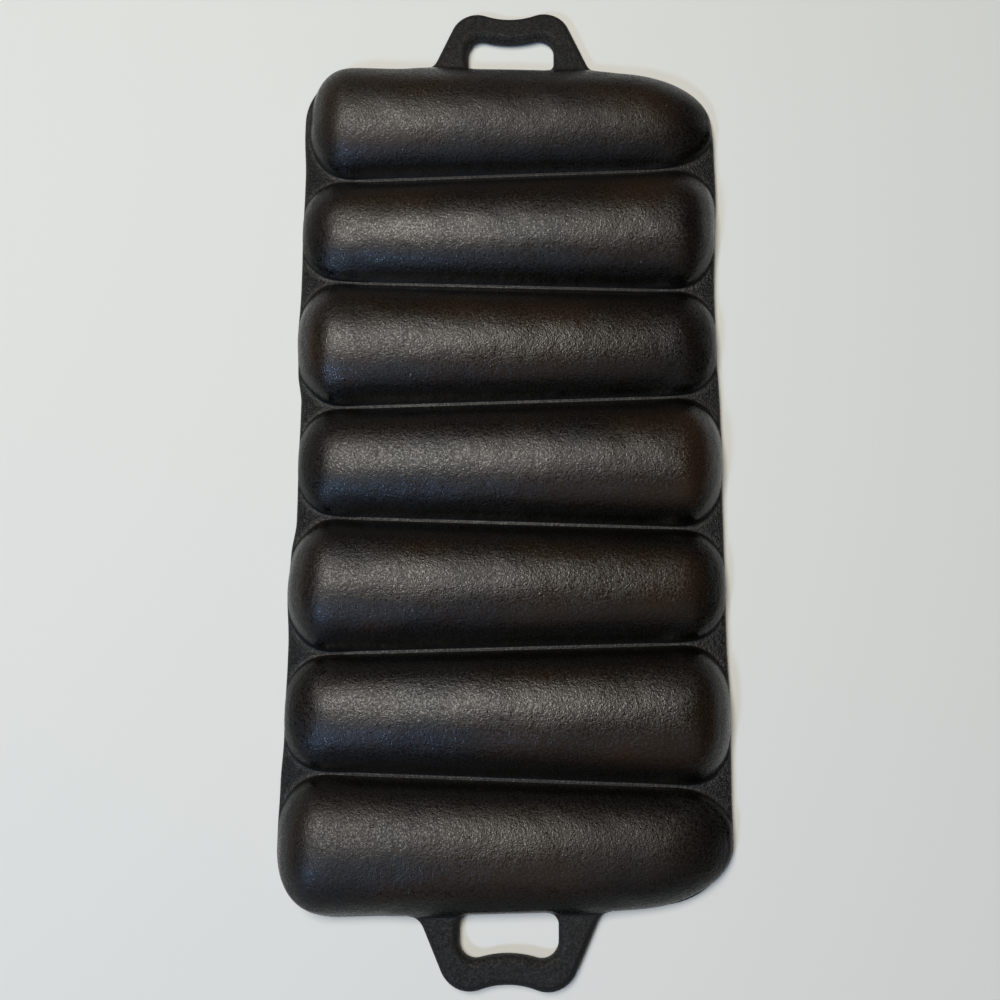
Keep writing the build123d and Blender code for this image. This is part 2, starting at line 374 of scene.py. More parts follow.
class Spokes:
    """Ways out from an ear's spine, once round it: half round the tip, up one flank, half round the
    butt and back down the other flank. Each spoke starts at its anchor on the spine."""

    def __init__(self, ear, tip_corner, butt_corner):
        """The corners are the turns of the spokes that lead to the corners of the section."""
        away = np.linspace(0, 1, SIDE_STEPS + 1) ** CORNER_CROWDING
        tips, butts = (
            np.concatenate([
                -corner - (np.pi / 2 - corner) * away[::-1],
                corner * (2 * clustered(END_STEPS)[1:-1] - 1),
                corner + (np.pi / 2 - corner) * away,
            ])
            for corner in (tip_corner, butt_corner)
        )
        self.ear = ear
        self.spine_along = np.linspace(ear.tip_join, ear.butt_join, FLANK_STEPS + 1)
        flank = self.spine_along[1:-1]
        still = np.zeros_like(flank)
        ends = np.ones_like(tips)
        steps = np.arange(1, FLANK_STEPS)
        self.anchor = np.concatenate(
            [ends * ear.tip_join, flank, ends * ear.butt_join, flank[::-1]]
        )
        self.outward = np.concatenate(
            [np.cos(tips) * ear.tip_depth, still, -np.cos(butts) * ear.butt_depth, still]
        )
        self.sine = np.concatenate([np.sin(tips), still + 1, np.sin(butts[::-1]), still - 1])
        self.spine = np.concatenate(
            [0 * ends, steps, FLANK_STEPS * ends, steps[::-1]]
        ).astype(int)

    def points(self, shares):
        """Plan points at these shares of every spoke, one row for each share."""
        along = self.anchor + self.outward * np.asarray(shares)[:, None]
        across = self.ear.radius(along) * self.sine * np.asarray(shares)[:, None]
        return along, across


class Pan:
    """The plan of the whole pan: where its sticks, end lines, handles and outline lie."""

    def __init__(self, sizes, handles):
        self.sizes, self.handles = sizes, handles
        self.rise = np.tan(sizes.taper)
        self.end_middle = (STICK_COUNT - 1) / 2 * sizes.pitch + sizes.foot + sizes.rim_lip
        reach = sizes.corner_tip_depth + sizes.tip_skew + sizes.side_lip
        self.oval = reach, self.foot_line(sizes.half_width - reach)
        self.loops = self.outline()

    def middle(self, stick):
        """Y of a stick's middle line. The sticks are counted from the far end."""
        return ((STICK_COUNT + 1) / 2 - stick) * self.sizes.pitch

    def own(self, stick, x, y):
        """A stick's own frame. Every second one is turned half round."""
        way = 1 if stick % 2 else -1
        return way * x, way * (y - self.middle(stick))

    def world(self, stick, along, across):
        """The pan's frame again: x and y of places in a stick's own frame."""
        way = 1 if stick % 2 else -1
        return way * along, way * across + self.middle(stick)

    def ear(self, stick, wall=0.0):
        """A stick's ear, or its hollow, which is smaller all round by the wall."""
        return Ear(self.sizes, wall, {1: 1, STICK_COUNT: -1}.get(stick, 0))

    def end_line(self, side, x):
        """Y of the rim's straight end beside the first stick (side 1) or the last one (side -1)."""
        return side * (self.end_middle - self.rise * x)

    def valley(self, along):
        """Distance across from a stick's middle line to the valley beside it."""
        return self.sizes.pitch / 2 - self.rise * along

    def foot_line(self, along):
        """Distance across from an end stick's middle line to the rim's end line."""
        return self.sizes.foot + self.sizes.rim_lip - self.rise * along

    def borders(self, stick, along):
        """Across of the section's two long borders, the lower one first: valleys or the end line."""
        low = self.foot_line(along) if stick == STICK_COUNT else self.valley(along)
        high = self.foot_line(along) if stick == 1 else self.valley(along)
        return -low, high

    def cell(self, stick):
        """Outline of a stick's section in its own frame, round only at the pan's own corners."""
        sizes = self.sizes
        tip, butt = sizes.half_width, -sizes.half_width
        sides = (tip, 0), (tip, 1), (butt, 1), (butt, 0)
        corners = [(along, self.borders(stick, along)[side]) for along, side in sides]
        pieces = []
        for n in range(4):
            around = corners[n - 1], corners[n], corners[(n + 1) % 4]
            outside = stick == (1 if n in (1, 2) else STICK_COUNT)
            if outside and n < 2:
                pieces.append(oval_corner(*around, *(self.oval if n == 0 else self.oval[::-1])))
            elif outside:
                pieces.append(rounded_corner(*around, sizes.butt_corner))
            else:
                pieces.append(np.array([corners[n]]))
        return np.concatenate(pieces)

    def handle_edge(self, side, is_hole):
        """The outer edge of a handle, or its hole's edge, from its right root over the bow and back.

        It is worked out from the middle of the root, with outwards as up, and then put in place.
        Each half is a flare out of the end line, a straight side, a round lobe and half a dip whose
        circle touches both lobes: its radius follows from the distance between the two middles.
        Every half has the same number of points in each part, so that the two edges match.
        """
        h = self.handles
        if is_hole:
            reach, lobe, offset, dip = h.reach - h.bar, h.hole_lobe, h.hole_offset, h.hole_dip
            lean, root = 0.0, h.hole_corner
        else:
            reach, lobe, offset, dip = h.reach, h.lobe, h.lobe_offset, h.dip
            lean, root = h.lean, h.root
        slope = -self.rise * side
        halves = []
        for hand in (1, -1):
            rise = slope * hand
            high = reach - lobe
            top = np.array([offset + lobe * np.cos(lean), high + lobe * np.sin(lean)])
            run = (top[1] - rise * top[0]) / (np.cos(lean) + rise * np.sin(lean))
            foot = top + run * np.array([np.sin(lean), -np.cos(lean)])
            outside = foot + (-1 if is_hole else 1) * np.array([1, rise])
            flare = rounded_corner(outside, foot, top, root, FLARE_POINTS)
            straight = np.linspace(flare[-1], top, SIDE_POINTS + 1)[1:]
            drop = reach - dip - high
            dip_radius = (offset**2 + drop**2 - lobe**2) / (2 * (lobe - drop))
            meet = np.arctan2(drop + dip_radius, -offset)
            bend = arc((offset, high), lobe, lean, meet, LOBE_POINTS + 1)[1:]
            middle = 0, high + drop + dip_radius
            start = np.arctan2(-(drop + dip_radius), offset)
            bow = arc(middle, dip_radius, start, -np.pi / 2, DIP_POINTS + 1)[1:]
            half = np.concatenate([flare, straight, bend, bow])
            halves.append(half * (hand, 1))
        place = h.shift, self.end_line(side, h.shift)
        return side * np.concatenate([halves[0], halves[1][-2::-1]]) + place

    def outline(self):
        """The free edges of the casting as closed lines: one right round, and one in each hole."""
        sizes = self.sizes
        left, right = -sizes.half_width, sizes.half_width
        ends = (right, 1), (left, 1), (left, -1), (right, -1)
        corners = [(x, self.end_line(side, x)) for x, side in ends]
        around = [(corners[n - 1], corners[n], corners[(n + 1) % 4]) for n in range(4)]
        rim = np.concatenate([
            oval_corner(*around[0], *self.oval[::-1]),
            self.handle_edge(1, False),
            rounded_corner(*around[1], sizes.butt_corner),
            rounded_corner(*around[2], sizes.butt_corner),
            self.handle_edge(-1, False),
            oval_corner(*around[3], *self.oval),
        ])
        return [rim, self.handle_edge(1, True), self.handle_edge(-1, True)]

    def edge_distance(self, x, y):
        """Distance to the nearest free edge, measured to each straight bit of the outline."""
        nearest = np.full(np.shape(x), 1.0)
        for loop in self.loops:
            for start, end in zip(loop, np.roll(loop, -1, 0)):
                run = end - start
                if run @ run < SAME_POINT**2:
                    continue
                t = ((x - start[0]) * run[0] + (y - start[1]) * run[1]) / (run @ run)
                t = np.clip(t, 0, 1)
                gap = np.hypot(x - start[0] - t * run[0], y - start[1] - t * run[1])
                nearest = np.minimum(nearest, gap)
        return nearest

    def root_share(self, x):
        """1 beside a handle's root, 0 elsewhere along the end line."""
        return 1 - ease(ROOT_EDGE, ROOT_FREE, np.abs(x - self.handles.shift))

    def top(self, stick, x, y, edge):
        """Height of the upper surface: the ear melted into the deck, less the rounded edge.

        The blend is wider by the ears' ends, though not on the pan's outer side. Beside a handle's
        root the deck is as thick as the handle and the blend is its own.
        """
        sizes, handles = self.sizes, self.handles
        along, across = self.own(stick, x, y)
        ear = self.ear(stick)
        deck = sizes.deck
        web = ease(WEB_START, WEB_FULL, np.abs(x))
        if ear.outer:
            web = web * ease(0, WEB_SHARE * sizes.foot, -ear.outer * across)
        blend = sizes.blend + (sizes.end_blend - sizes.blend) * web
        if ear.outer:
            root = self.root_share(x) * (ear.outer * across > 0)
            deck = deck + (handles.thickness - deck) * root
            blend = blend + (handles.blend - blend) * root
        radius = self.edge_radius(ear, x, y, sizes.rim_edge, handles.upper_edge)
        return smooth_max(ear.height(along, across), deck, blend) - rounding(edge, radius)

    def bottom(self, stick, x, y, edge):
        """Height of the face that the pan lies on: only its rounded edges rise."""
        sizes, handles = self.sizes, self.handles
        radius = self.edge_radius(self.ear(stick), x, y, sizes.foot_edge, handles.lower_edge)
        return rounding(edge, radius)

    def edge_radius(self, ear, x, y, rim, handle):
        """Rounding of an edge, which grows from the rim's to the handle's beyond the end line."""
        if not ear.outer:
            return rim
        beyond = ear.outer * (y - self.end_line(ear.outer, x))
        return rim + (handle - rim) * ease(0, EDGE_GROWTH, beyond)


def kernel_press(sizes, ear, along, across, height):
    """Moves points of a cup's wall outwards where a kernel is pressed in.

    Rows of kernels lie a fixed angle apart round the ear's middle line, which is sunk under the
    rim, and every second row is half a kernel along. A kernel is a pillow over its cell, one less
    u cubed times one less v cubed, where u and v run from 0 in its middle to 1 at its sides. The
    pattern fades out at the rounded ends and at the mouth.
    """
    angle = np.arctan2(across, height + sizes.sink)
    row = np.clip(np.round(angle / sizes.kernel_angle), -SIDE_ROWS, SIDE_ROWS)
    column = (along - ear.butt_join) / sizes.kernel_length + 0.5 * (row % 2)
    v = 2 * np.abs(angle / sizes.kernel_angle - row)
    u = 2 * np.abs(column - np.round(column))
    pillow = np.clip(1 - u**3, 0, 1) * np.clip(1 - v**3, 0, 1)
    into_butt = np.clip(ear.butt_join - along, 0, None) / ear.butt_depth
    into_tip = np.clip(along - ear.tip_join, 0, None) / ear.tip_depth
    fade = (1 - ease(*END_FADE, into_butt)) * (1 - ease(*END_FADE, into_tip))
    fade = fade * ease(*MOUTH_FADE, height)
    press = sizes.kernel_depth * pillow * fade
    return across + press * np.sin(angle), height + press * np.cos(angle)


def from_station_to_station(stations, y):
    """A value given at some places along the pan, which eases over from each place to the next."""
    value = np.full(np.shape(y), float(stations[0][1]))
    for (start, low), (end, high) in zip(stations, stations[1:]):
        value = value + (high - low) * ease(start, end, y)
    return value


def settle(sizes, points):
    """The unevenness of a hand-poured casting, which only ever takes away.

    The upper surface sinks by up to the swell in three crossing sine waves, 15 to 40 mm long, in
    full at the crests and not at all at the rim. The rim's two long sides draw in a little, by
    more at some sticks.
    """
    x, y, z = points.T
    inset = np.where(
        x < 0, from_station_to_station(LEFT_INSETS, y), from_station_to_station(RIGHT_INSETS, y)
    )
    x = x - np.sign(x) * inset * ease(INSET_START, sizes.half_width, np.abs(x))
    wave = (
        np.sin(210 * x + 1.3 * np.sin(95 * y + 0.7)) * np.sin(160 * y + 0.4)
        + 0.7 * np.sin(370 * y - 120 * x + 1.9)
        + 0.6 * np.sin(330 * x + 240 * y + 0.2)
    ) / (1 + 0.7 + 0.6)
    sunk = sizes.swell * (0.5 + 0.5 * wave) * ease(*SWELL_HEIGHTS, z)
    return np.stack([x, y, z - sunk], 1)


def add_object(name, data):
    """A new object in the scene that shows this data."""
    made = bpy.data.objects.new(name, data)
    bpy.context.scene.collection.objects.link(made)
    return made


def build_mesh(name, points, faces, flat, fields):
    """A closed mesh from points (n, 3) and a list of faces. Flat faces are those of the cuts
    between the sections, which never show, and fields are values per point for the finishes."""
    mesh = bpy.data.meshes.new(name)
    mesh.from_pydata(points.tolist(), [], faces)
    mesh.polygons.foreach_set("use_smooth", np.invert(flat))
    for label, values in fields.items():
        attribute = mesh.attributes.new(label, "FLOAT", "POINT")
        attribute.data.foreach_set("value", np.asarray(values, np.float32))
    mesh.validate()
    mesh.update()
    return add_object(name, mesh)


def border_points(pan, stick, ear, spokes):
    """Where each spoke meets the section's outline, in the stick's own frame.

    A spoke that leaves the ear's flank runs straight across to it. Round an end, a spoke keeps its
    turn, measured as if the end were a circle of radius one.
    """
    cell = pan.cell(stick)

    def on_border(along, side):
        """Across of the outline on one side of the spine, read off the outline itself."""
        chain = cell[side * cell[:, 1] > pan.sizes.foot / 2]
        chain = chain[np.argsort(chain[:, 0])]
        return np.interp(along, chain[:, 0], chain[:, 1])

    along = spokes.anchor.copy()
    across = np.where(spokes.sine > 0, on_border(along, 1), on_border(along, -1))
    lines = np.linspace(cell, np.roll(cell, -1, 0), 60, endpoint=False, axis=1).reshape(-1, 2)
    for join, depth, side in ear.ends():
        edge = np.concatenate([lines, [[join, on_border(join, 1)], [join, on_border(join, -1)]]])
        edge = edge[side * (edge[:, 0] - join) > -1e-9]
        way = np.arctan2(edge[:, 1] / ear.radius(edge[:, 0]), side * (edge[:, 0] - join) / depth)
        order = np.argsort(way)
        end = side * spokes.outward > 1e-12
        turned = np.arctan2(spokes.sine[end], np.abs(spokes.outward[end]) / depth)
        along[end] = np.interp(turned, way[order], edge[order, 0])
        across[end] = np.interp(turned, way[order], edge[order, 1])
    return along, across


def out_to_border(along, across, border, steps):
    """Adds rings outside the last one, at these shares of the straight ways to the border."""
    steps = steps[:, None]
    return (
        np.concatenate([along, along[-1] + (border[0] - along[-1]) * steps]),
        np.concatenate([across, across[-1] + (border[1] - across[-1]) * steps]),
    )


def upper_surface(pan, stick, ear, spokes, border):
    """Rings over the ear and out to the border, with each point's way to an edge and its share.

    Their shares of a spoke grow with the sine of an angle, so they are even on the round ear.
    Outside it they crowd at the border, where the edge is rounded.
    """
    shares = np.sin(np.linspace(0, np.arcsin(EAR_SHARE), EAR_RINGS + 1)[1:])
    along, across = out_to_border(*spokes.points(shares), border, clustered(WEB_RINGS)[1:])
    x, y = pan.world(stick, along, across)
    edge = pan.edge_distance(x, y)
    return np.stack([x, y, pan.top(stick, x, y, edge)], 2), edge, ear.share(along, across)


def lower_surface(pan, stick, hollow, spokes, border):
    """Rings in the cup, over its mouth and out to the border, with each point's way to an edge."""
    shares = np.concatenate([
        np.sin(np.linspace(0, np.arcsin(CUP_SHARE), CUP_RINGS + 1)[1:]),
        np.linspace(CUP_SHARE, MOUTH_SHARE, MOUTH_RINGS + 1)[1:],
    ])
    steps = np.sin(np.linspace(0, np.pi / 2, FACE_RINGS + 1))[1:]
    along, across = out_to_border(*spokes.points(shares), border, steps)
    z = smooth_max(hollow.height(along, across), 0, pan.sizes.mouth_blend)
    across, z = kernel_press(pan.sizes, hollow, along, across, z)
    x, y = pan.world(stick, along, across)
    edge = pan.edge_distance(x, y)
    return np.stack([x, y, z + pan.bottom(stick, x, y, edge)], 2), edge


def ring_faces(ring_count, spokes):
    """Faces between the rings, and those that close the first ring onto the crest and the last
    one onto the roof of the cup, as triangles where two spokes share their place on the spine."""
    count = len(spokes.anchor)
    here = np.arange(count)
    ahead = np.roll(here, -1)
    ring = np.arange(ring_count - 1)[:, None] * count
    quads = np.stack([ring + here, ring + count + here, ring + count + ahead, ring + ahead], 2)
    last = (ring_count - 1) * count
    crest = ring_count * count + spokes.spine
    roof = crest + len(spokes.spine_along)
    faces = quads.reshape(-1, 4).tolist()
    for cap in (
        np.stack([crest, here, ahead, crest[ahead]], 1),
        np.stack([roof[ahead], last + ahead, last + here, roof], 1),
    ):
        same = cap[:, 0] == cap[:, 3]
        faces += cap[~same].tolist() + cap[same][:, :3].tolist()
    return faces


def stick_section(pan, stick):
    """One stick's share of the casting, from the crest down over the border and up into the cup.

    Rings of points run round the ear's spine: over the ear and the web to the border of the
    section, straight down the wall there, and back over the face and into the cup.
    """
    sizes = pan.sizes
    ear, hollow = pan.ear(stick), pan.ear(stick, sizes.wall)
    corners = []
    for join, depth, side in ear.ends():
        corner = side * sizes.half_width
        across = pan.valley(corner) / ear.radius(corner)
        corners.append(np.arctan2(across, side * (corner - join) / depth))
    spokes, inner = Spokes(ear, *corners), Spokes(hollow, *corners)
    border = border_points(pan, stick, ear, spokes)

    upper, edge, share = upper_surface(pan, stick, ear, spokes, border)
    lower, under_edge = lower_surface(pan, stick, hollow, inner, border)
    down = np.linspace(0, 1, WALL_RINGS + 2)[1:-1, None, None]
    wall = upper[-1] + (lower[-1] - upper[-1]) * down
    rings = np.concatenate([upper, wall, lower[::-1]])
    edges = np.concatenate([edge, np.repeat(edge[-1:], WALL_RINGS, 0), under_edge[::-1]])

    spine_along, middle = spokes.spine_along, np.zeros_like(spokes.spine_along)
    x, y = pan.world(stick, spine_along, middle)
    crest = np.stack([x, y, ear.crest(spine_along)], 1)
    _, height = kernel_press(sizes, hollow, spine_along, middle, hollow.crest(spine_along))
    roof = np.stack([x, y, height], 1)
    points = np.concatenate([rings.reshape(-1, 3), crest, roof])
    fields = {
        "edge": np.concatenate([edges.ravel(), np.ones(len(crest) + len(roof))]),
        "share": np.concatenate([share.ravel(), np.zeros(len(points) - share.size)]),
    }

    faces = ring_faces(len(rings), spokes)
    count = len(spokes.anchor)
    on_outline = edge[-1] < ON_OUTLINE
    cut = ~(on_outline & np.roll(on_outline, -1))
    flat = np.zeros(len(faces), bool)
    first = (len(upper) - 1) * count
    flat[first : first + (WALL_RINGS + 1) * count] = np.tile(cut, WALL_RINGS + 1)

    settled = settle(sizes, points)
    in_cup = np.zeros(len(points), bool)
    in_cup[(len(upper) + WALL_RINGS) * count : rings.size // 3] = True
    in_cup[-len(roof):] = True
    settled[in_cup, 2] = points[in_cup, 2]
    return settled, faces, flat, fields


def handle_section(pan, side):
    """One loop handle from the left root over the bow to the right root, as a closed skin.

    Each cross section is a straight line between matching points of the hole's edge and the outer
    edge: along the top, down the outer wall, back underneath and up the wall of the hole.
    """
    stick = 1 if side == 1 else STICK_COUNT
    outer, inner = (pan.handle_edge(side, is_hole) for is_hole in (False, True))
    steps = clustered(BAR_STEPS)[:, None, None]
    plan = inner + (outer - inner) * steps
    x, y = plan[..., 0], plan[..., 1]
    edge = pan.edge_distance(x, y)
    upper = np.stack([x, y, pan.top(stick, x, y, edge)], 2)
    lower = np.stack([x, y, pan.bottom(stick, x, y, edge)], 2)[::-1]
    fall = np.linspace(0, 1, BAR_WALL_STEPS + 1)[1:-1, None, None]
    outer_wall = upper[-1] + (lower[0] - upper[-1]) * fall
    inner_wall = lower[-1] + (upper[0] - lower[-1]) * fall
    skin = np.concatenate([upper, outer_wall, lower, inner_wall])
    loop, rows = skin.shape[:2]
    here = np.arange(rows - 1)
    start = np.arange(loop)[:, None] * rows
    onward = np.roll(np.arange(loop), -1)[:, None] * rows
    quads = np.stack([start + here, onward + here, onward + here + 1, start + here + 1], 2)
    faces = quads.reshape(-1, 4).tolist()
    faces.append((np.arange(loop) * rows)[::-1].tolist())
    faces.append((np.arange(loop) * rows + rows - 1).tolist())
    flat = np.zeros(len(faces), bool)
    flat[-2:] = True
    walls = np.zeros((BAR_WALL_STEPS - 1, rows))
    fields = {
        "edge": np.concatenate([edge, walls, edge[::-1], walls]).ravel(),
        "share": np.zeros(loop * rows),
    }
    return settle(pan.sizes, skin.reshape(-1, 3)), faces, flat, fields


def feed(tree, node, inputs):
    """Gives each of these inputs of a node its plain value, or links it to its socket."""
    for key, value in inputs.items():
        if isinstance(value, bpy.types.NodeSocket):
            tree.links.new(value, node.inputs[key])
        else:
            node.inputs[key].default_value = value


def add_node(tree, kind, inputs=None, **settings):
    """A shader node with its settings, and its inputs as plain values or sockets."""
    made = tree.nodes.new(kind)
    for key, value in settings.items():
        setattr(made, key, value)
    feed(tree, made, inputs or {})
    return made


def open_material(name):
    """A new material with its tree and its shader."""
    material = bpy.data.materials.new(name)
    material.use_nodes = True
    tree = material.node_tree
    return material, tree, tree.nodes["Principled BSDF"]


def open_group(name, inputs, outputs):
    """A shader node group with these sockets, its tree and its two end nodes."""
    tree = bpy.data.node_groups.new(name, "ShaderNodeTree")
    for way, sockets in (("INPUT", inputs), ("OUTPUT", outputs)):
        for label, kind in sockets.items():
            tree.interface.new_socket(label, in_out=way, socket_type="NodeSocket" + kind)
    return tree, tree.nodes.new("NodeGroupInput"), tree.nodes.new("NodeGroupOutput")


def mix_colour(tree, factor, low, high):
    """Mixes two colours, which may be plain values or sockets."""
    inputs = {0: factor, 6: low, 7: high}
    return add_node(tree, "ShaderNodeMix", inputs, data_type="RGBA").outputs[2]


def arithmetic(tree, operation, first, second=0.0):
    """One step of sums on values or sockets."""
    inputs = {0: first, 1: second}
    return add_node(tree, "ShaderNodeMath", inputs, operation=operation).outputs[0]


def add_share(tree, base, value, share):
    """A base value with a share of another value added."""
    return arithmetic(tree, "ADD", base, arithmetic(tree, "MULTIPLY", value, share))


def spread(tree, value, low, high, start=0.0, end=1.0):
    """Maps a value smoothly from low..high to start..end."""
    inputs = {"Value": value, "From Min": low, "From Max": high, "To Min": start, "To Max": end}
    made = add_node(tree, "ShaderNodeMapRange", inputs, interpolation_type="SMOOTHSTEP")
    return made.outputs["Result"]


def noise(tree, position, scale, detail=2.0, rough=0.5):
    """Noise on a position; a scale of 1000 has waves about a millimetre long."""
    inputs = {"Vector": position, "Scale": scale, "Detail": detail, "Roughness": rough}
    return add_node(tree, "ShaderNodeTexNoise", inputs).outputs["Fac"]


def flank_mask(tree, share):
    """1 on the steep flank just inside an ear's foot, 0 on its back and on the web."""
    return arithmetic(
        tree, "SUBTRACT", spread(tree, share, *FLANK_IN), spread(tree, share, *FLANK_OUT)
    )


def cast_grain_group():
    """Orange peel, sand grain, slow waves and pits of a sand casting, as heights.

    The grain is calmer on the flanks and much stronger on the web.
    """
    tree, given, made = open_group(
        "cast_grain",
        {"Position": "Vector", "Share": "Float", "Coarse": "Float", "Fine": "Float"},
        {"Height": "Float", "Pits": "Float"},
    )
    position, share = given.outputs["Position"], given.outputs["Share"]
    peel = noise(tree, position, given.outputs["Coarse"], 2.0, 0.55)
    sand = noise(tree, position, given.outputs["Fine"], 1.0)
    waves = noise(tree, position, WAVE_SCALE)
    pits = spread(tree, noise(tree, position, PIT_SCALE, 1.0), 0.76, 0.84)
    height = add_share(tree, arithmetic(tree, "MULTIPLY", peel, PEEL_SHARE), sand, SAND_SHARE)
    strength = add_share(tree, 1.0, flank_mask(tree, share), -FLANK_CALM)
    strength = add_share(tree, strength, spread(tree, share, *WEB_IN), WEB_GRAIN)
    height = arithmetic(tree, "MULTIPLY", height, strength)
    height = add_share(tree, height, waves, WAVE_SHARE)
    feed(tree, made, {"Height": height, "Pits": pits})
    return tree


def seasoning_group():
    """Colour of baked oil on iron: black and brown in clouds, rubbed edges, and painted shade: the
    brown is kept to the crests and the valleys are darkened.
    """
    tree, given, made = open_group(
        "seasoning",
        {"Position": "Vector", "Edge": "Float", "Share": "Float", "Black": "Color",
         "Brown": "Color", "Rubbed": "Color", "Valley Shade": "Color", "Gloss": "Float"},
        {"Color": "Color", "Roughness": "Float"},
    )
    position = given.outputs["Position"]
    clouds = noise(tree, position, CLOUD_SCALE, 3.0)
    specks = noise(tree, position, SPECK_SCALE, 2.0, 0.6)
    x, y, z = add_node(tree, "ShaderNodeSeparateXYZ", {0: position}).outputs

    # Painted shade: the brown is kept to the crests, so the flanks below stay darker, as if they lay
    # in shade.
    high = spread(tree, z, *BROWN_ABOVE_SHADED_FLANKS)
    brown = arithmetic(tree, "MULTIPLY", spread(tree, clouds, 0.25, 0.75), high)
    base = mix_colour(tree, brown, given.outputs["Black"], given.outputs["Brown"])
    # Painted shade: the colour darkens in the low valleys between the sticks, as if they lay in
    # shade.
    low = spread(tree, z, *VALLEY_SHADE_HEIGHTS)
    base = mix_colour(tree, arithmetic(tree, "MULTIPLY", low, 0.6), base, given.outputs["Valley Shade"])
    worn = spread(tree, given.outputs["Edge"], *RUBBED_EDGE)
    worn = arithmetic(tree, "MULTIPLY", worn, spread(tree, specks, 0.35, 0.7))
    base = mix_colour(tree, worn, base, given.outputs["Rubbed"])

    rough = arithmetic(tree, "SUBTRACT", 1.0, given.outputs["Gloss"])
    outwards = arithmetic(tree, "ABSOLUTE", y)
    for change in (
        spread(tree, clouds, 0.3, 0.7, CLOUD_ROUGH, -CLOUD_ROUGH),
        spread(tree, specks, 0.3, 0.7, SPECK_ROUGH, -SPECK_ROUGH),
        arithmetic(tree, "MULTIPLY", flank_mask(tree, given.outputs["Share"]), FLANK_ROUGH),
        arithmetic(tree, "MULTIPLY", low, VALLEY_ROUGH),
        spread(tree, outwards, *OUTER_STICKS, 0.0, OUTER_ROUGH),
        spread(tree, x, *LEFT_ENDS, 0.0, LEFT_ROUGH),
    ):
        rough = arithmetic(tree, "ADD", rough, change)
    feed(tree, made, {"Color": base, "Roughness": rough})
    return tree


def iron_material(name, finish, gloss):
    """Seasoned iron. The two node groups that feed its shader are made once for all finishes."""
    groups = bpy.data.node_groups
    material, tree, shader = open_material(name)
    place = add_node(tree, "ShaderNodeTexCoord").outputs["Object"]
    edge = add_node(tree, "ShaderNodeAttribute", attribute_name="edge").outputs["Fac"]
    share = add_node(tree, "ShaderNodeAttribute", attribute_name="share").outputs["Fac"]
    grain = add_node(
        tree, "ShaderNodeGroup",
        {"Position": place, "Share": share, "Coarse": finish.peel, "Fine": finish.sand},
        node_tree=groups.get("cast_grain") or cast_grain_group(),
    ).outputs
    skin = add_node(
        tree, "ShaderNodeGroup",
        {"Position": place, "Edge": edge, "Share": share, "Gloss": gloss,
         "Black": (*finish.seasoning, 1), "Brown": (*finish.brown, 1),
         "Rubbed": (*finish.rubbed, 1), "Valley Shade": (*finish.valley_shade, 1)},
        node_tree=groups.get("seasoning") or seasoning_group(),
    ).outputs
    pitted = add_node(
        tree, "ShaderNodeBump",
        {"Strength": 1.0, "Distance": finish.pits, "Height": grain["Pits"]}, invert=True,
    ).outputs["Normal"]
    rough = add_node(
        tree, "ShaderNodeBump",
        {"Strength": 1.0, "Distance": finish.grain, "Height": grain["Height"], "Normal": pitted},
    ).outputs["Normal"]
    feed(tree, shader, {
        "Base Color": skin["Color"], "Roughness": skin["Roughness"], "Normal": rough,
        "Metallic": 0.0, "IOR": 1.5, "Specular IOR Level": 0.42,
    })
    return material


def add_sections(scene, kind, gloss, section, places):
    """Builds all sections of one kind, hangs each on the pan's body and hides the CAD node that it
    stands for.
    """
    pan = Pan(scene.pan_sizes, scene.pan_handles)
    material = iron_material(f"seasoned_{kind}", scene.pan_finish, gloss)
    for label, node, place in places:
        piece = build_mesh(f"cast_{kind}_{label}", *section(pan, place))
        piece.data.materials.append(material)
        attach(piece, "root")
        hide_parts(node)
    return {"FINISHED"}


class PAN_OT_sticks(bpy.types.Operator):
    """Adds the seven sticks, which are one casting with the handles"""

    bl_idname = "corn_pan.add_sticks"
    bl_label = "Add the seven sticks"

    def execute(self, context):
        gloss = context.scene.pan_finish.gloss
        sticks = [(n, f"stick_cup_{n}", n) for n in range(1, STICK_COUNT + 1)]
        return add_sections(context.scene, "stick", gloss, stick_section, sticks)


class PAN_OT_handles(bpy.types.Operator):
    """Adds the two loop handles"""

    bl_idname = "corn_pan.add_handles"
    bl_label = "Add the loop handles"

    def execute(self, context):
        gloss = context.scene.pan_finish.handle_gloss
        handles = [("far", "handle_far", 1), ("near", "handle_near", -1)]
        return add_sections(context.scene, "handle", gloss, handle_section, handles)


def area_light(name, place, turns, size, power, tint):
    """A soft rectangular light, turned by these degrees from pointing straight down."""
    data = bpy.data.lights.new(name, "AREA")
    data.shape = "RECTANGLE"
    data.size, data.size_y = size
    data.energy = power
    data.color = tint
    lamp = add_object(name, data)
    lamp.location = place
    lamp.rotation_euler = [radians(angle) for angle in turns]


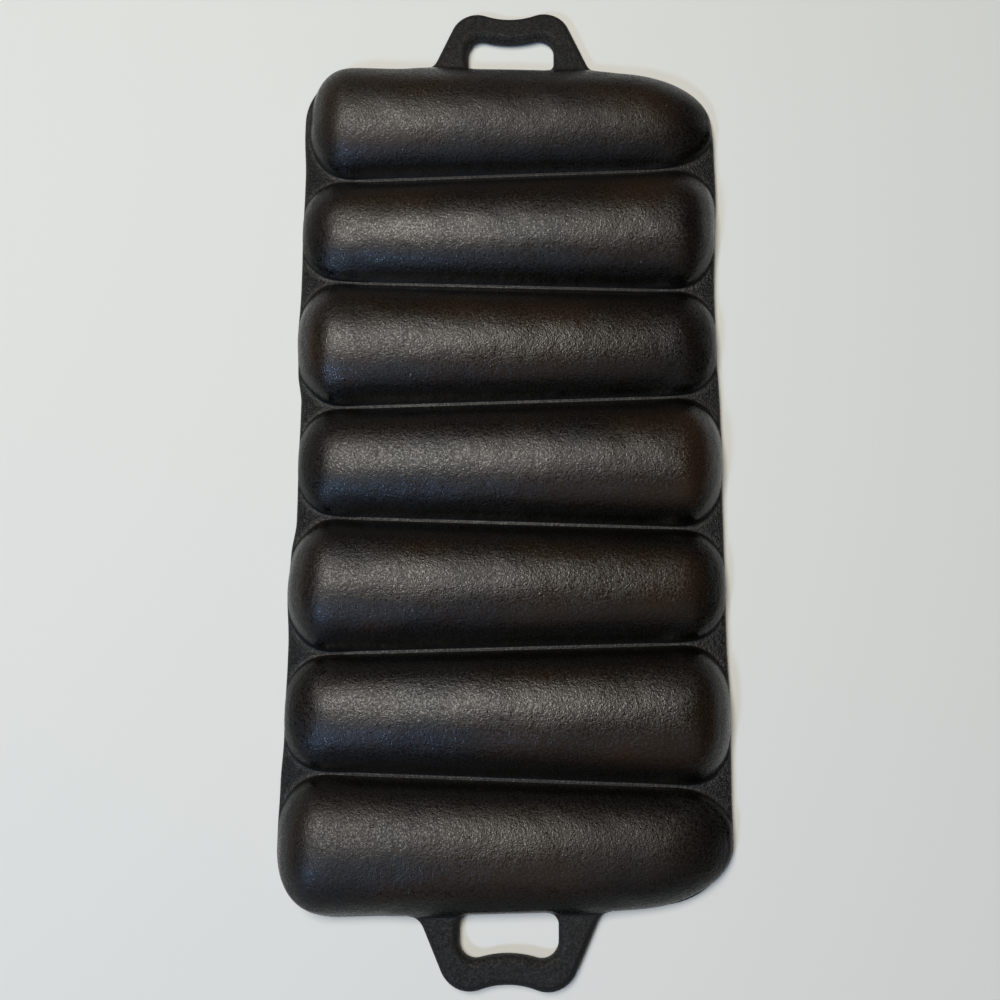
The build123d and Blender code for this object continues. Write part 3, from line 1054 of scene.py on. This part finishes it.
class PAN_OT_stage(bpy.types.Operator):
    """Adds the floor, the lights and the camera"""

    bl_idname = "corn_pan.add_stage"
    bl_label = "Add the stage"

    def execute(self, context):
        scene = context.scene
        settings = scene.pan_stage
        mesh = bpy.data.meshes.new("floor")
        corners = [
            (right * settings.floor_reach, up * settings.floor_reach, -settings.floor_gap)
            for right, up in ((-1, -1), (1, -1), (1, 1), (-1, 1))
        ]
        mesh.from_pydata(corners, [], [(0, 1, 2, 3)])
        floor = add_object("floor", mesh)
        paint, tree, shader = open_material("pale_floor")
        feed(tree, shader, {
            "Base Color": (*settings.floor, 1), "Roughness": 0.9, "Specular IOR Level": 0.1,
        })
        clear = add_node(tree, "ShaderNodeBsdfTransparent").outputs[0]
        from_below = add_node(tree, "ShaderNodeNewGeometry").outputs["Backfacing"]
        mixed = add_node(
            tree, "ShaderNodeMixShader", {0: from_below, 1: shader.outputs[0], 2: clear}
        )
        feed(tree, tree.nodes["Material Output"], {"Surface": mixed.outputs[0]})
        mesh.materials.append(paint)

        area_light("overhead", (-0.31, 0.25, 1.2), (-12, -15, 0),
                   (0.5, 0.8), settings.key, (1.0, 0.965, 0.90))
        area_light("window", (-0.64, -0.84, 1.0), (35, -33, 0),
                   (0.16, 0.16), settings.window, (0.40, 0.62, 1.0))
        area_light("front", (0.15, -0.90, 1.0), (42, 8, 0),
                   (1.0, 0.8), settings.front, (1.0, 0.86, 0.72))

        world = bpy.data.worlds.new("studio")
        world.use_nodes = True
        sky = world.node_tree.nodes["Background"]
        feed(world.node_tree, sky, {"Color": (0.95, 0.97, 1.0, 1), "Strength": settings.fill})
        scene.world = world

        data = bpy.data.cameras.new("camera")
        data.sensor_width, data.lens = 36, 36
        camera = add_object("camera", data)
        camera.location = (0.00509, -0.07019, 0.33629)
        camera.rotation_euler = (0.1704, 0.0221, 0.0036)
        scene.camera = camera
        scene.view_settings.view_transform = "Standard"
        return {"FINISHED"}


class PAN_PT_sidebar(bpy.types.Panel):
    """The pan's buttons and values"""

    bl_idname = "PAN_PT_sidebar"
    bl_label = "Corn Stick Pan"
    bl_space_type = "VIEW_3D"
    bl_region_type = "UI"
    bl_category = "Corn Stick Pan"

    def draw(self, context):
        column = self.layout.column()
        for operator in (PAN_OT_sticks, PAN_OT_handles, PAN_OT_stage):
            column.operator(operator.bl_idname)
        for name in PROPERTY_GROUPS:
            group = getattr(context.scene, name)
            for key in group.bl_rna.properties.keys():
                if key not in ("rna_type", "name"):
                    column.prop(group, key)


PROPERTY_GROUPS = {
    "pan_sizes": PanSizes,
    "pan_handles": HandleSizes,
    "pan_finish": IronFinish,
    "pan_stage": StageSettings,
}
CLASSES = (*PROPERTY_GROUPS.values(), PAN_OT_sticks, PAN_OT_handles, PAN_OT_stage, PAN_PT_sidebar)


def register():
    for cls in CLASSES:
        bpy.utils.register_class(cls)
    for name, cls in PROPERTY_GROUPS.items():
        setattr(bpy.types.Scene, name, PointerProperty(type=cls))


def unregister():
    for name in PROPERTY_GROUPS:
        delattr(bpy.types.Scene, name)
    for cls in reversed(CLASSES):
        bpy.utils.unregister_class(cls)


def main():
    """Registers the add-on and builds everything."""
    register()
    bpy.ops.corn_pan.add_stage()
    bpy.ops.corn_pan.add_sticks()
    bpy.ops.corn_pan.add_handles()


if __name__ == "__main__":
    main()
